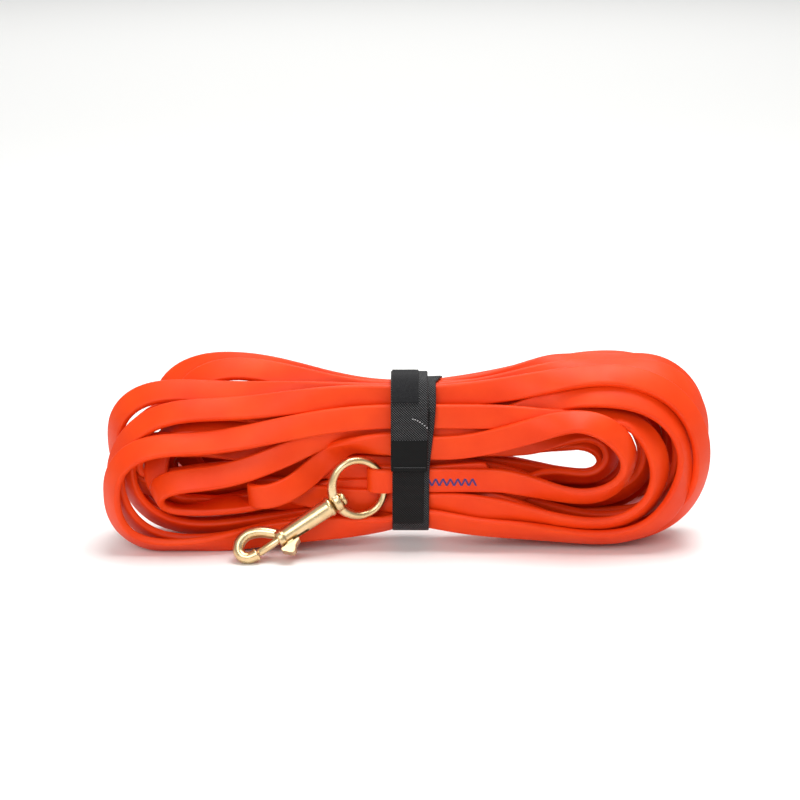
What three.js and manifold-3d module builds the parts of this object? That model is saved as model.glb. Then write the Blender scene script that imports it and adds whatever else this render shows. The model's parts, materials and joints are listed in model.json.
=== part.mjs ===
// Training leash: a long coated-webbing line folded into a hank, held by a hook-and-loop tie,
// with a swivel bolt snap sewn into its end. Millimetres, +Z up, +X along the hank, -Y its front.
// The origin is on the ground under the middle of the whole object's box.
import * as THREE from "three";
import { mergeVertices } from "three/addons/utils/BufferGeometryUtils.js";
import Module from "manifold-3d";

const wasm = await Module();
wasm.setup();

// ---- driving dimensions -------------------------------------------------------------------
const STRAP_WIDTH = 13;
const STRAP_THICK = 4;
const GAP = 0.3; // air left between pieces that touch
const ORIGIN_Y = 4.5; // how far the hank's middle plane lies behind the origin

const HANK_LENGTH = 320;
const HANK_HEIGHT = 101;
const HANK_DEPTH = 54;
const WAIST_DEPTH = 28.4;
const WAIST_LOW = 11;
const WAIST_HIGH = 90;

const TIE_X = 1.5; // middle of the tie along the hank
const TIE_WIDTH = 19.5;
const TIE_THICK = 1.4;
const PATCH_THICK = 0.8;

const SEWN_LEFT = -22.6; // the fold that holds the snap's eye
const SEWN_RIGHT = 43; // the end of the folded-back tail
const SEWN_Z = 37.2; // height of the sewn end's middle
const SEWN_FRONT = -14.5;
const FOLD_BULGE = 4.8; // how far the front layer stands forward round the eye's wire
const FOLD_BOW = 1.5; // how far the back layer bows away behind it
const THREAD = 0.6;
const ZIGZAG_PITCH = 5.5;
const ZIGZAG_HEIGHT = 4.2;
const ZIGZAG_LEFT = -3;
const ZIGZAG_MARGIN = 5; // from the last stitch to the tail's end
const ZIGZAG_WIDTH = 0.9; // of the doubled thread, seen from the front

const EYE_RADIUS = 14; // centre line of the eye
const EYE_WIRE = 1.7;
const EYE_PIVOT = new THREE.Vector3(-13, -11, 37.2); // where the wire passes through the fold
const EYE_DROP = 1.2; // the eye's centre hangs this much below the pivot
const EYE_SWING = THREE.MathUtils.degToRad(18); // plan angle between the eye and the hank
const SNAP_DIP = THREE.MathUtils.degToRad(29.2); // the snap's slope down to the ground
const SNAP_ROLL = THREE.MathUtils.degToRad(40); // how far the hook's bow leans back

const BOSS_START = 11.2; // distances along the snap's axis from the eye's centre
const BOSS_END = 15.9;
const COLLAR_START = 16.4;
const BARREL_START = 19.2;
const BARREL_END = 50.6;
const HOOK_TIP = 63.2;
const STEM_END = 22.4;
const CHAMBER_START = 22.8;
const CHAMBER_END = 48.6;
const BOLT_HEAD = 6;
const SLOT_START = 34;
const SLOT_END = 49.6;
const SLOT_WIDTH = 3.4;
const BOSS_RADIUS = 5.4;
const STEM_RADIUS = 2.2;
const BARREL_RADIUS = 5.2;
const BARREL_TIP_RADIUS = 4.7;
const CHAMBER_RADIUS = 3.2;
const BOLT_RADIUS = 2;
const KNOB_LENGTH = 9.5;
const KNOB_WIDTH = 6.4;
const KNOB_MIDDLE = 46.3; // along the axis
const STUD_REACH = 10.8; // clear radius that the thumb stud turns in
const BOW_REACH = 15.6; // clear radius that the hook's bow turns in
const SPRING_TURNS = 8;

const ROUND = 40; // facets round a turned piece

// ---- materials ----------------------------------------------------------------------------
function finish(color, roughness, metalness) {
  return new THREE.MeshStandardMaterial({ color, roughness, metalness });
}
const strapOrange = finish(0xff4a1e, 0.45, 0);
const threadPurple = finish(0x5a3a8c, 0.8, 0);
const brass = finish(0xd9b878, 0.35, 1);
const steel = finish(0xb8bbc0, 0.35, 1);
const webbingBlack = finish(0x191a1c, 0.85, 0);
const patchGrey = finish(0x2b2c2f, 0.95, 0);

// ---- solids -------------------------------------------------------------------------------
function toSolid(geometry) {
  const bare = geometry.clone();
  bare.deleteAttribute("normal");
  bare.deleteAttribute("uv");
  const merged = mergeVertices(bare, 1e-4);
  return new wasm.Manifold(
    new wasm.Mesh({
      numProp: 3,
      vertProperties: new Float32Array(merged.attributes.position.array),
      triVerts: new Uint32Array(merged.index.array),
    }),
  );
}

function toGeometry(solid) {
  const mesh = solid.getMesh();
  const geometry = new THREE.BufferGeometry();
  geometry.setAttribute("position", new THREE.BufferAttribute(mesh.vertProperties, 3));
  geometry.setIndex(new THREE.BufferAttribute(mesh.triVerts, 1));
  geometry.computeVertexNormals();
  return geometry;
}

function named(name, geometry, material) {
  const mesh = new THREE.Mesh(geometry, material);
  mesh.name = name;
  return mesh;
}

// A piece turned about the snap's axis (local X) from [distance along it, radius] pairs.
function turned(profile, facets = ROUND) {
  const points = profile.map(([along, radius]) => new THREE.Vector2(radius, along));
  return new THREE.LatheGeometry(points, facets).rotateZ(-Math.PI / 2);
}

function rod(from, to, radius, facets = ROUND) {
  return turned([[from, 0], [from, radius], [to, radius], [to, 0]], facets);
}

function block(x0, x1, y0, y1, z0, z1) {
  return new THREE.BoxGeometry(x1 - x0, y1 - y0, z1 - z0).translate(
    (x0 + x1) / 2,
    (y0 + y1) / 2,
    (z0 + z1) / 2,
  );
}

// ---- where the eye and the snap lie ---------------------------------------------------------
const flat = new THREE.Vector3(-Math.cos(EYE_SWING), -Math.sin(EYE_SWING), 0);
const along = flat.clone().multiplyScalar(Math.cos(SNAP_DIP));
along.z = -Math.sin(SNAP_DIP);
const up = flat.clone().multiplyScalar(Math.sin(SNAP_DIP));
up.z = Math.cos(SNAP_DIP);
const side = new THREE.Vector3().crossVectors(up, along);

const eye = new THREE.Group();
const chord = Math.sqrt(EYE_RADIUS ** 2 - EYE_DROP ** 2);
eye.position.copy(EYE_PIVOT).addScaledVector(flat, chord);
eye.position.z -= EYE_DROP;
eye.quaternion.setFromRotationMatrix(new THREE.Matrix4().makeBasis(along, side, up));
eye.updateMatrix();

// ---- the hank -----------------------------------------------------------------------------
// Outline seen from the front: two round-ended lobes with a waist at the tie.
function hankFront() {
  const end = HANK_LENGTH / 2;
  const outline = new THREE.Shape();
  outline.moveTo(-118, 0);
  outline.lineTo(-40, 0);
  outline.bezierCurveTo(-25, 0, -20, WAIST_LOW, -10, WAIST_LOW);
  outline.lineTo(13, WAIST_LOW);
  outline.bezierCurveTo(24, WAIST_LOW, 30, 0, 45, 0);
  outline.lineTo(105, 0);
  outline.bezierCurveTo(140, 2, end, 22, end, 50);
  outline.bezierCurveTo(end, 80, 138, HANK_HEIGHT, 108, HANK_HEIGHT);
  outline.bezierCurveTo(70, HANK_HEIGHT, 40, WAIST_HIGH, 13, WAIST_HIGH);
  outline.lineTo(-10, WAIST_HIGH);
  outline.bezierCurveTo(-40, WAIST_HIGH, -60, HANK_HEIGHT - 3, -95, HANK_HEIGHT - 3);
  outline.bezierCurveTo(-135, HANK_HEIGHT - 6, -end, 72, -end, 38);
  outline.bezierCurveTo(-end, 14, -145, 2, -118, 0);
  const depth = HANK_DEPTH;
  return new THREE.ExtrudeGeometry(outline, { depth, bevelEnabled: false, curveSegments: 10 })
    .rotateX(Math.PI / 2)
    .translate(0, depth / 2, 0);
}

// Outline seen from above: the lobes swell in front of and behind the waist.
function hankPlan() {
  const end = HANK_LENGTH / 2 + 1;
  const waist = WAIST_DEPTH / 2;
  const lobe = HANK_DEPTH / 2;
  const outline = new THREE.Shape();
  outline.moveTo(-end, -8);
  outline.bezierCurveTo(-end, -24, -140, -lobe, -110, -lobe);
  outline.bezierCurveTo(-75, -lobe, -60, -waist, -30, -waist);
  outline.lineTo(30, -waist);
  outline.bezierCurveTo(60, -waist, 75, -lobe, 110, -lobe);
  outline.bezierCurveTo(140, -lobe, end, -24, end, -8);
  outline.lineTo(end, 8);
  outline.bezierCurveTo(end, 24, 140, lobe, 110, lobe);
  outline.bezierCurveTo(75, lobe, 60, waist, 30, waist);
  outline.lineTo(-30, waist);
  outline.bezierCurveTo(-60, waist, -75, lobe, -110, lobe);
  outline.bezierCurveTo(-140, lobe, -end, 24, -end, 8);
  const depth = HANK_HEIGHT + 2;
  return new THREE.ExtrudeGeometry(outline, { depth, bevelEnabled: false, curveSegments: 8 })
    .translate(0, 0, -1);
}

// Outline seen from the end: an upright oval standing on a narrow flat.
function hankEnd() {
  const outline = new THREE.Shape();
  const half = HANK_DEPTH / 2;
  outline.moveTo(-10, 0);
  outline.lineTo(10, 0);
  outline.bezierCurveTo(19, 4, half, 25, half, 50);
  outline.bezierCurveTo(half, 78, 20, HANK_HEIGHT, 8, HANK_HEIGHT);
  outline.lineTo(-8, HANK_HEIGHT);
  outline.bezierCurveTo(-20, HANK_HEIGHT, -half, 78, -half, 50);
  outline.bezierCurveTo(-half, 25, -19, 4, -10, 0);
  const depth = HANK_LENGTH + 4;
  return new THREE.ExtrudeGeometry(outline, { depth, bevelEnabled: false, curveSegments: 8 })
    .rotateX(Math.PI / 2)
    .rotateZ(Math.PI / 2)
    .translate(-depth / 2, 0, 0);
}

// The groove that the sewn end lies in, and the room that the eye swings in.
function sewnGroove() {
  const z0 = SEWN_Z - STRAP_WIDTH / 2 - GAP;
  const z1 = SEWN_Z + STRAP_WIDTH / 2 + GAP;
  const back = SEWN_FRONT + 2 * STRAP_THICK + FOLD_BOW + GAP;
  return block(SEWN_LEFT - 1, SEWN_RIGHT + GAP, -HANK_DEPTH, back, z0, z1);
}

function eyeRoom() {
  const reach = EYE_RADIUS + EYE_WIRE + 1;
  const z0 = SEWN_Z - EYE_DROP - reach;
  const z1 = SEWN_Z - EYE_DROP + reach;
  return block(EYE_PIVOT.x - 2 * reach - 3, EYE_PIVOT.x + 3, -HANK_DEPTH, EYE_PIVOT.y + 3, z0, z1);
}

// The room that the hook and the thumb stud turn in, about the snap's axis.
function snapRoom() {
  return turned([
    [KNOB_MIDDLE - 18, 0],
    [KNOB_MIDDLE - 18, STUD_REACH],
    [BARREL_END + 1, STUD_REACH],
    [BARREL_END + 1, BOW_REACH],
    [HOOK_TIP + 13, BOW_REACH],
    [HOOK_TIP + 13, 0],
  ]).applyMatrix4(eye.matrix);
}

// The rounded seat that the tie draws the strands into.
function tieSeat() {
  const half = TIE_WIDTH / 2 + 1;
  const around = block(TIE_X - half, TIE_X + half, -HANK_DEPTH, HANK_DEPTH, -1, HANK_HEIGHT + 1);
  const points = Array.from({ length: 72 }, (_, i) => loopPoint((LOOP_LENGTH * i) / 72, -GAP));
  const depth = 2 * half + 2;
  const inside = new THREE.ExtrudeGeometry(new THREE.Shape(points), { depth, bevelEnabled: false })
    .rotateX(Math.PI / 2)
    .rotateZ(Math.PI / 2)
    .translate(TIE_X - depth / 2, 0, 0);
  return toSolid(around).subtract(toSolid(inside));
}

function strapHank() {
  const solid = toSolid(hankFront())
    .intersect(toSolid(hankPlan()))
    .intersect(toSolid(hankEnd()))
    .subtract(tieSeat())
    .subtract(toSolid(sewnGroove()))
    .subtract(toSolid(eyeRoom()))
    .subtract(toSolid(snapRoom()));
  return named("strap_hank", toGeometry(solid), strapOrange);
}

// ---- the sewn end -------------------------------------------------------------------------
// Seen from above: the strap doubled back round the eye's wire, both layers sewn together.
function sewnEnd() {
  const front = SEWN_FRONT;
  const back = front + 2 * STRAP_THICK;
  const bulge = front - FOLD_BULGE;
  const bow = back + FOLD_BOW;
  const outline = new THREE.Shape();
  outline.moveTo(SEWN_RIGHT, front);
  outline.lineTo(SEWN_RIGHT, back);
  outline.lineTo(-4, back);
  outline.bezierCurveTo(-7, back, -8, bow, -12, bow);
  outline.bezierCurveTo(-18, bow, SEWN_LEFT, bow - 2.4, SEWN_LEFT, bow - 6.5);
  outline.bezierCurveTo(SEWN_LEFT, bulge + 3.5, -19.5, bulge, -15, bulge);
  outline.bezierCurveTo(-10, bulge, -10.3, front - 1.2, -7, front - 0.3);
  outline.lineTo(-5, front);
  const hole = new THREE.Path();
  const inner = STRAP_THICK;
  hole.moveTo(-3, front + inner);
  hole.bezierCurveTo(-7, front + inner - 1, -7.5, bulge + inner, -12, bulge + inner);
  hole.bezierCurveTo(-19.5, bulge + inner, -20, bow - inner, -12, bow - inner);
  hole.bezierCurveTo(-9, bow - inner, -7, front + inner + 0.4, -3, front + inner);
  outline.holes.push(hole);
  const geometry = new THREE.ExtrudeGeometry(outline, {
    depth: STRAP_WIDTH,
    bevelEnabled: false,
    curveSegments: 10,
  }).translate(0, 0, SEWN_Z - STRAP_WIDTH / 2);
  return named("strap_sewn_end", geometry, strapOrange);
}

// A zigzag thread lying on one face of the sewn layers.
function zigzagThread(name, y) {
  const count = 2 * Math.floor((SEWN_RIGHT - ZIGZAG_MARGIN - ZIGZAG_LEFT) / ZIGZAG_PITCH);
  const centre = Array.from({ length: count + 1 }, (_, i) => [
    ZIGZAG_LEFT + (i * ZIGZAG_PITCH) / 2,
    SEWN_Z + (i % 2 ? ZIGZAG_HEIGHT : -ZIGZAG_HEIGHT) / 2,
  ]);
  const half = ZIGZAG_WIDTH / 2;
  const outline = new THREE.Shape();
  centre.forEach(([x, z], i) => (i ? outline.lineTo(x, z + half) : outline.moveTo(x, z + half)));
  [...centre].reverse().forEach(([x, z]) => outline.lineTo(x, z - half));
  const geometry = new THREE.ExtrudeGeometry(outline, { depth: THREAD, bevelEnabled: false })
    .rotateX(Math.PI / 2)
    .translate(0, y + THREAD, 0);
  return named(name, geometry, threadPurple);
}

// ---- the tie ------------------------------------------------------------------------------
const TIE_HALF = WAIST_DEPTH / 2 + 1.5; // inner face of the tie's first wrap, front and back
const TIE_LOW = WAIST_LOW - 0.5;
const TIE_HIGH = WAIST_HIGH + 0.5;
const TIE_CORNER = 12;
const LAYER_STEP = TIE_THICK + PATCH_THICK + 2 * GAP; // from one wrap to the wrap over it

// A point on the rounded loop round the waist, at a distance round it from the top's middle
// towards the front, pushed out by `out`.
function loopPoint(distance, out) {
  const flatY = TIE_HALF - TIE_CORNER;
  const flatZ = (TIE_HIGH - TIE_LOW) / 2 - TIE_CORNER;
  const arc = (Math.PI / 2) * TIE_CORNER;
  const middle = (TIE_HIGH + TIE_LOW) / 2;
  const legs = [flatY, arc, 2 * flatZ, arc, 2 * flatY, arc, 2 * flatZ, arc, flatY];
  const total = legs.reduce((sum, leg) => sum + leg, 0);
  let rest = ((distance % total) + total) % total;
  let leg = 0;
  while (leg < 8 && rest > legs[leg]) rest -= legs[leg++];
  const r = TIE_CORNER + out;
  const turn = rest / TIE_CORNER;
  const s = Math.sin(turn);
  const c = Math.cos(turn);
  const spots = [
    [-rest, flatZ + r],
    [-flatY - r * s, flatZ + r * c],
    [-flatY - r, flatZ - rest],
    [-flatY - r * c, -flatZ - r * s],
    [-flatY + rest, -flatZ - r],
    [flatY + r * s, -flatZ - r * c],
    [flatY + r, -flatZ + rest],
    [flatY + r * c, flatZ + r * s],
    [flatY - rest, flatZ + r],
  ];
  return new THREE.Vector2(spots[leg][0], middle + spots[leg][1]);
}

// A strip of band between two distances round the loop, from `out0` to `out1` at each end.
function strip(from, to, lift, thick, steps, width) {
  const inner = [];
  const outer = [];
  for (let i = 0; i <= steps; i++) {
    const distance = from + ((to - from) * i) / steps;
    inner.push(loopPoint(distance, lift(distance)));
    outer.push(loopPoint(distance, lift(distance) + thick));
  }
  const outline = new THREE.Shape([...inner, ...outer.reverse()]);
  return new THREE.ExtrudeGeometry(outline, { depth: width, bevelEnabled: false })
    .rotateX(Math.PI / 2)
    .rotateZ(Math.PI / 2)
    .translate(TIE_X - width / 2, 0, 0);
}

const LOOP_LENGTH = (() => {
  const flatY = TIE_HALF - TIE_CORNER;
  const flatZ = (TIE_HIGH - TIE_LOW) / 2 - TIE_CORNER;
  return 4 * flatY + 4 * flatZ + 2 * Math.PI * TIE_CORNER;
})();
const WRAP_START = -14; // behind the top, under the second wrap
const TAIL_END = LOOP_LENGTH + 54; // on the front, halfway down
const BAND_STEPS = 150;
const LOOP_PATCH_START = -4; // distances round the loop, from the top's middle
const LOOP_PATCH_END = 22;
const HOOK_PATCH_END = 52;
const TAIL_HEM = 2.4;
const SEAM = 0.6; // width of a row of stitches
const SEAM_THICK = 0.5;

// The band climbs from the first wrap to the second while it passes up the back.
function bandLift(distance) {
  const t = THREE.MathUtils.clamp((distance - LOOP_LENGTH + 46) / 26, 0, 1);
  return LAYER_STEP * t * t * (3 - 2 * t);
}

function tiePieces() {
  const band = strip(WRAP_START, TAIL_END, bandLift, TIE_THICK, BAND_STEPS, TIE_WIDTH);
  const between = () => TIE_THICK + GAP;
  const hook = strip(LOOP_PATCH_END, HOOK_PATCH_END, between, PATCH_THICK, 8, TIE_WIDTH - 3);
  const outside = () => LAYER_STEP + TIE_THICK + GAP;
  const loop = strip(LOOP_PATCH_START, LOOP_PATCH_END, outside, PATCH_THICK, 20, TIE_WIDTH - 1);
  const tailStitch = TAIL_END - LOOP_LENGTH - TAIL_HEM;
  const tailSeam = strip(tailStitch, tailStitch + SEAM, outside, SEAM_THICK, 2, TIE_WIDTH - 2);
  const overPatch = () => LAYER_STEP + TIE_THICK + PATCH_THICK + 2 * GAP;
  const patchStitch = LOOP_PATCH_END - 2;
  const patchSeam = strip(patchStitch, patchStitch + SEAM, overPatch, SEAM_THICK, 2, TIE_WIDTH - 3);
  return [
    named("tie_band", band, webbingBlack),
    named("tie_hook_patch", hook, patchGrey),
    named("tie_loop_patch", loop, patchGrey),
    named("tie_tail_thread", tailSeam, webbingBlack),
    named("tie_patch_thread", patchSeam, webbingBlack),
  ];
}

// ---- the snap's eye -----------------------------------------------------------------------
function eyeRing() {
  const ring = new THREE.TorusGeometry(EYE_RADIUS, EYE_WIRE, 12, 56).rotateX(Math.PI / 2);
  const boss = turned([
    [BOSS_START, 0],
    [BOSS_START, BOSS_RADIUS - 1.2],
    [BOSS_START + 1, BOSS_RADIUS],
    [BOSS_END - 1, BOSS_RADIUS],
    [BOSS_END, BOSS_RADIUS - 0.8],
    [BOSS_END, 0],
  ], 32);
  const bore = rod(BOSS_START - 4, BOSS_END + 2, STEM_RADIUS + GAP, 32);
  const solid = toSolid(ring).add(toSolid(boss)).subtract(toSolid(bore));
  return named("swivel_eye", toGeometry(solid), brass);
}

// The rivet that the eye turns on: a head inside the eye and a stem fixed in the barrel.
function swivelPin() {
  const head = BOSS_START - GAP;
  return named("swivel_pin", turned([
    [head - 2.6, 0],
    [head - 2.6, 2.8],
    [head - 2, 3.6],
    [head - 0.6, 3.9],
    [head, 3.7],
    [head, STEM_RADIUS],
    [STEM_END, STEM_RADIUS],
    [STEM_END, 0],
  ], 32), brass);
}

// ---- the snap's body ----------------------------------------------------------------------
function barrel() {
  return turned([
    [COLLAR_START, 0],
    [COLLAR_START, 4.2],
    [COLLAR_START + 0.9, 4.6],
    [COLLAR_START + 1.3, 5.6],
    [BARREL_START - 0.6, 5.7],
    [BARREL_START, BARREL_RADIUS],
    [BARREL_END - 2, BARREL_TIP_RADIUS],
    [BARREL_END - 1.4, BARREL_TIP_RADIUS + 0.3],
    [BARREL_END, BARREL_TIP_RADIUS - 0.3],
    [BARREL_END, 0],
  ]);
}

// The hook's centre line bows out from the barrel and comes back to the axis at its tip.
function hook() {
  const path = new THREE.CatmullRomCurve3([
    new THREE.Vector3(46.4, 0, 3.4),
    new THREE.Vector3(51.6, 0, 6.2),
    new THREE.Vector3(56.4, 0, 10.1),
    new THREE.Vector3(62.2, 0, 12.4),
    new THREE.Vector3(68.2, 0, 11.2),
    new THREE.Vector3(72.2, 0, 7.4),
    new THREE.Vector3(72.2, 0, 3.2),
    new THREE.Vector3(69.4, 0, 0.7),
    new THREE.Vector3(66.2, 0, 0),
    new THREE.Vector3(HOOK_TIP, 0, 0),
  ], false, "centripetal");
  const section = new THREE.Shape();
  section.absellipse(0, 0, 2.2, 2.7, 0, 2 * Math.PI);
  return new THREE.ExtrudeGeometry(section, {
    extrudePath: path,
    steps: 44,
    curveSegments: 7,
    bevelEnabled: false,
  });
}

function snapBody() {
  const tip = turned([
    [HOOK_TIP, 0],
    [HOOK_TIP, 2.9],
    [HOOK_TIP + 1, 3.1],
    [HOOK_TIP + 2, 2.4],
    [HOOK_TIP + 2, 0],
  ], 24);
  const solid = toSolid(barrel())
    .add(toSolid(hook()))
    .add(toSolid(tip))
    .subtract(toSolid(rod(COLLAR_START - 2, CHAMBER_START + 1, STEM_RADIUS + GAP, 32)))
    .subtract(toSolid(rod(CHAMBER_START, CHAMBER_END, CHAMBER_RADIUS, 32)))
    .subtract(toSolid(rod(CHAMBER_END - 1, HOOK_TIP, BOLT_RADIUS + GAP, 32)))
    .subtract(toSolid(block(
      SLOT_START, SLOT_END, -SLOT_WIDTH / 2, SLOT_WIDTH / 2, -BARREL_RADIUS - 2, -1,
    )));
  return named("snap_body", toGeometry(solid), brass);
}

// ---- the bolt, its thumb stud and its spring -----------------------------------------------
function bolt() {
  const head = CHAMBER_END - GAP;
  return named("bolt", turned([
    [head - BOLT_HEAD, 0],
    [head - BOLT_HEAD, CHAMBER_RADIUS - GAP - 0.3],
    [head - BOLT_HEAD + 0.5, CHAMBER_RADIUS - GAP],
    [head - 0.5, CHAMBER_RADIUS - GAP],
    [head, BOLT_RADIUS + 0.3],
    [head, BOLT_RADIUS],
    [HOOK_TIP - GAP - 0.5, BOLT_RADIUS],
    [HOOK_TIP - GAP, BOLT_RADIUS - 0.5],
    [HOOK_TIP - GAP, 0],
  ], 28), brass);
}

function thumbStud() {
  const shankHalf = 2.6;
  const shank = block(
    KNOB_MIDDLE - shankHalf, KNOB_MIDDLE + shankHalf,
    GAP - SLOT_WIDTH / 2, SLOT_WIDTH / 2 - GAP,
    -BARREL_RADIUS - 0.6, -CHAMBER_RADIUS,
  );
  const half = KNOB_LENGTH / 2;
  const under = -BARREL_RADIUS - 0.4;
  const outline = new THREE.Shape();
  outline.moveTo(-half, under);
  outline.lineTo(-half, under - 0.9);
  outline.bezierCurveTo(-half + 2, under - 1.2, -1.6, under - 2, -0.9, under - 3.4);
  outline.bezierCurveTo(-0.4, under - 4.3, 1.4, under - 4.4, 2.2, under - 3.9);
  outline.bezierCurveTo(3.2, under - 3, half, under - 1.8, half, under - 0.9);
  outline.lineTo(half, under);
  const knob = new THREE.ExtrudeGeometry(outline, {
    depth: KNOB_WIDTH,
    bevelEnabled: false,
    curveSegments: 6,
  }).rotateX(Math.PI / 2).translate(KNOB_MIDDLE, KNOB_WIDTH / 2, 0);
  return named("thumb_stud", toGeometry(toSolid(knob).add(toSolid(shank))), brass);
}

class SpringCurve extends THREE.Curve {
  getPoint(t, target = new THREE.Vector3()) {
    const start = STEM_END + GAP + 0.5;
    const end = CHAMBER_END - GAP - BOLT_HEAD - GAP - 0.5;
    const angle = 2 * Math.PI * SPRING_TURNS * t;
    const radius = CHAMBER_RADIUS - GAP - 0.5;
    return target.set(start + (end - start) * t, radius * Math.cos(angle), radius * Math.sin(angle));
  }
}

function spring() {
  const wire = new THREE.Shape();
  wire.absarc(0, 0, 0.4, 0, 2 * Math.PI);
  return named("bolt_spring", new THREE.ExtrudeGeometry(wire, {
    extrudePath: new SpringCurve(),
    steps: SPRING_TURNS * 12,
    curveSegments: 3,
    bevelEnabled: false,
  }), steel);
}

// ---- assembly -----------------------------------------------------------------------------
const snap = new THREE.Group();
snap.rotation.x = SNAP_ROLL;
snap.add(swivelPin(), snapBody(), spring(), bolt(), thumbStud());

eye.add(eyeRing(), snap);

const leash = new THREE.Group();
leash.position.y = ORIGIN_Y;
leash.add(strapHank(), sewnEnd());
leash.add(zigzagThread("seam_thread_front", SEWN_FRONT - GAP - THREAD));
leash.add(zigzagThread("seam_thread_back", SEWN_FRONT + 2 * STRAP_THICK + GAP));
leash.add(...tiePieces(), eye);

export default leash;
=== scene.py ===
import math

import bmesh
import bpy
import numpy as np
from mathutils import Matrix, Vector
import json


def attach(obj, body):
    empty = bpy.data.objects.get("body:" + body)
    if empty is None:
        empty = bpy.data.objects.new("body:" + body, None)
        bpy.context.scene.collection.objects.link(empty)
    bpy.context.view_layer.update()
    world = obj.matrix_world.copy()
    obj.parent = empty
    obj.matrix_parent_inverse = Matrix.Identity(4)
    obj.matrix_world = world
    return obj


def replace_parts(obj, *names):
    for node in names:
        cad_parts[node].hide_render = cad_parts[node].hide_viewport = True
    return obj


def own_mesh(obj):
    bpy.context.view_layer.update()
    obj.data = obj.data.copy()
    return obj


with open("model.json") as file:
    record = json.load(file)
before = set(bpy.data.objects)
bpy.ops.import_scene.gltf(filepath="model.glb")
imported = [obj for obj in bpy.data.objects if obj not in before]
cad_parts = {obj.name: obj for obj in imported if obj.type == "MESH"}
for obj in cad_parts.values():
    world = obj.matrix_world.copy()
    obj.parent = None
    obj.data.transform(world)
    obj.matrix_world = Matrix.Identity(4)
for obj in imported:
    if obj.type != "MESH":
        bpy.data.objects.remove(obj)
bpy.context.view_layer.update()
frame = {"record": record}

JOINTS = {joint["name"]: joint for joint in frame["record"]["behaviour"]["joints"]}

# ------------------------------------------------------------------ driving dimensions
# The hank is laid out in millimetres about its own middle plane, y = 0, and scaled at the end.
MM = 0.001
ORIGIN_Y = 4.5                  # the hank's middle plane stands this far behind the origin

STRAP_WIDTH = 13.0
STRAP_THICK = 4.0
STRAP_EDGE = 1.35               # radius of the strap's long edges
STRAP_CORNER = 3.0              # radius of the corners at its cut ends
ROUTE_STEP = 6.0                # spacing of the route's points
MESH_STEP = 2.0                 # spacing of the mesh's sections

SEWN_RIGHT = 43.0
SEWN_LEFT = -22.6
SEWN_HEIGHT = 39.4
STANDING_DEPTH = -12.5          # middle of the sewn end's front layer
TAIL_DEPTH = -8.5               # middle of its back layer
TAIL_LIFT = 2.6                 # the tail's end lies this much higher than the standing part
NECK_RIGHT = -1.0               # where the two layers part to go round the eye's wire
FOLD_REACH = 7.5
FOLD_HALF = 4.6                 # the layers stand this far apart, halved, at the wire

TIE_MIDDLE = 1.5
FRONT = np.array([0.0, -1.0, 0.0])


# ------------------------------------------------------------------ small tools
def unit(vectors):
    return vectors / np.linalg.norm(vectors, axis=-1, keepdims=True)


def smooth(u):
    u = np.clip(u, 0.0, 1.0)
    return u * u * (3 - 2 * u)


def hermite(start, start_slope, end, end_slope, count):
    u = np.linspace(0, 1, count, endpoint=False)[:, None]
    return ((2 * u**3 - 3 * u**2 + 1) * start + (u**3 - 2 * u**2 + u) * start_slope
            + (3 * u**2 - 2 * u**3) * end + (u**3 - u**2) * end_slope)


def place(points):
    """Hank millimetres to the frame's metres."""
    return (np.asarray(points) + (0, ORIGIN_Y, 0)) * MM


def ring_faces(count, sides, flip=False):
    """Quads between rings of vertices, and a flat face at each end."""
    faces = []
    for ring in range(count - 1):
        for side in range(sides):
            near = (ring * sides + side, ring * sides + (side + 1) % sides)
            far = (near[0] + sides, near[1] + sides)
            faces.append((near[0], far[0], far[1], near[1]) if flip else (*near, far[1], far[0]))
    first, last = tuple(range(sides)), tuple(range((count - 1) * sides, count * sides))
    return faces + ([first, last[::-1]] if flip else [first[::-1], last])


def new_object(name, verts, faces, body):
    mesh = bpy.data.meshes.new(name)
    mesh.from_pydata([tuple(v) for v in verts], [], [tuple(f) for f in faces])
    mesh.validate()
    mesh.shade_smooth()
    piece = bpy.data.objects.new(name, mesh)
    bpy.context.scene.collection.objects.link(piece)
    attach(piece, body)
    return piece


# ------------------------------------------------------------------ camera
def add_camera():
    pitch = math.radians(15.0)
    distance = 1.10
    target = Vector((-0.0042, ORIGIN_Y * MM, 0.080))
    camera = bpy.data.cameras.new("camera")
    camera.lens = 93.3
    camera.sensor_width = 36.0
    view = bpy.data.objects.new("camera", camera)
    view.location = target + Vector((0, -math.cos(pitch), math.sin(pitch))) * distance
    view.rotation_euler = (math.pi / 2 - pitch, 0, 0)
    bpy.context.scene.collection.objects.link(view)
    bpy.context.scene.camera = view


add_camera()


# ------------------------------------------------------------------ the strap's route
# Each turn crosses the tie in one upper and one lower slot: (column from the front, row from
# the bottom, lift in mm). The sewn end takes the slot at the front of the third row.
UPPER_SLOTS = [(0, 3, -1), (0, 4, 4), (1, 4, -5), (1, 5, 1), (1, 3, 0), (2, 3, 0), (2, 4, 0),
               (2, 5, 0), (3, 3, 0), (3, 4, 0), (3, 5, 0), (4, 3, 0), (4, 4, 0), (4, 5, 0),
               (5, 3, 0), (5, 4, 0), (5, 5, 0)]
LOWER_SLOTS = [(0, 1, -5), (0, 0, -2), (1, 1, 1), (1, 0, 0), (2, 2, 0), (2, 1, 0), (2, 0, 0), (3, 2, 0),
               (3, 1, 0), (3, 0, 0), (4, 2, 0), (4, 1, 0), (4, 0, 0), (5, 2, 0), (5, 1, 0), (5, 0, 0)]
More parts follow.
